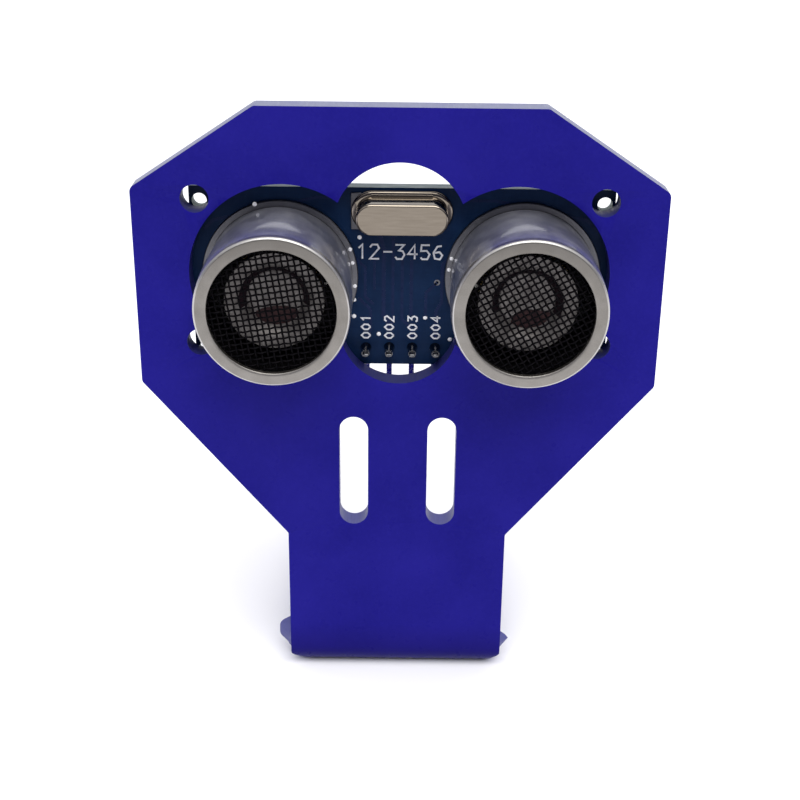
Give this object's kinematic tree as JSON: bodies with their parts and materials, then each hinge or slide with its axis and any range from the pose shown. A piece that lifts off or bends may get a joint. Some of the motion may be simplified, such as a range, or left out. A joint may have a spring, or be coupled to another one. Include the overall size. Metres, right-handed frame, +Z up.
{
  "type": "ultrasonic distance sensor",
  "caption": "Ultrasonic distance sensor: a board with two metal transducer cans that look out through the eye cut-outs of a blue acrylic face bracket with a bent foot.",
  "frame": {"origin": "on the foot's underside, midway between its two screw holes", "axes": "+Z up along the upright plate, the transducers look along -Y, +X to the right as seen from in front"},
  "size_m": [0.056, 0.0429, 0.0672],
  "materials": {
    "blue_acrylic": "satin",
    "circuit_board": "satin",
    "can_aluminium": "satin",
    "black_wire": "satin",
    "cone_aluminium": "satin",
    "diaphragm_metal": "satin",
    "piezo_ceramic": "matte",
    "silicone": "matte",
    "terminal_resin": "matte",
    "tinned_metal": "satin",
    "solder": "gloss",
    "crystal_steel": "polished",
    "black_nylon": "satin",
    "chip_package": "matte",
    "resistor": "satin",
    "capacitor": "satin"
  },
  "bodies": {
    "bracket": {"bracket": "blue_acrylic"},
    "sensor_module": {"amplifier_chip": "chip_package", "capacitor_1": "capacitor", "capacitor_2": "capacitor", "capacitor_3": "capacitor", "capacitor_4": "capacitor", "capacitor_5": "capacitor", "capacitor_6": "capacitor", "circuit_board": "circuit_board", "controller_chip": "chip_package", "crystal_base": "crystal_steel", "crystal_can": "crystal_steel", "crystal_lead_1": "tinned_metal", "crystal_lead_2": "tinned_metal", "crystal_solder_1": "solder", "crystal_solder_2": "solder", "driver_chip": "chip_package", "header_housing": "black_nylon", "header_pin_1": "tinned_metal", "header_pin_2": "tinned_metal", "header_pin_3": "tinned_metal", "header_pin_4": "tinned_metal", "header_solder_1": "solder", "header_solder_2": "solder", "header_solder_3": "solder", "header_solder_4": "solder", "receiver_can": "can_aluminium", "receiver_cone": "cone_aluminium", "receiver_cushion_ring": "silicone", "receiver_diaphragm": "diaphragm_metal", "receiver_lead_1": "tinned_metal", "receiver_lead_2": "tinned_metal", "receiver_piezo_disc": "piezo_ceramic", "receiver_screen": "black_wire", "receiver_solder_1": "solder", "receiver_solder_2": "solder", "receiver_terminal_base": "terminal_resin", "resistor_1": "resistor", "resistor_2": "resistor", "resistor_3": "resistor", "resistor_4": "resistor", "resistor_5": "resistor", "resistor_6": "resistor", "resistor_7": "resistor", "resistor_8": "resistor", "switch_transistor": "chip_package", "transmitter_can": "can_aluminium", "transmitter_cone": "cone_aluminium", "transmitter_cushion_ring": "silicone", "transmitter_diaphragm": "diaphragm_metal", "transmitter_lead_1": "tinned_metal", "transmitter_lead_2": "tinned_metal", "transmitter_piezo_disc": "piezo_ceramic", "transmitter_screen": "black_wire", "transmitter_solder_1": "solder", "transmitter_solder_2": "solder", "transmitter_terminal_base": "terminal_resin"}
  },
  "joints": [
    {"name": "module_slide", "type": "slide", "parent": "bracket", "child": "sensor_module", "axis": [0, 1, 0], "range_m": [0, 0.02]}
  ]
}
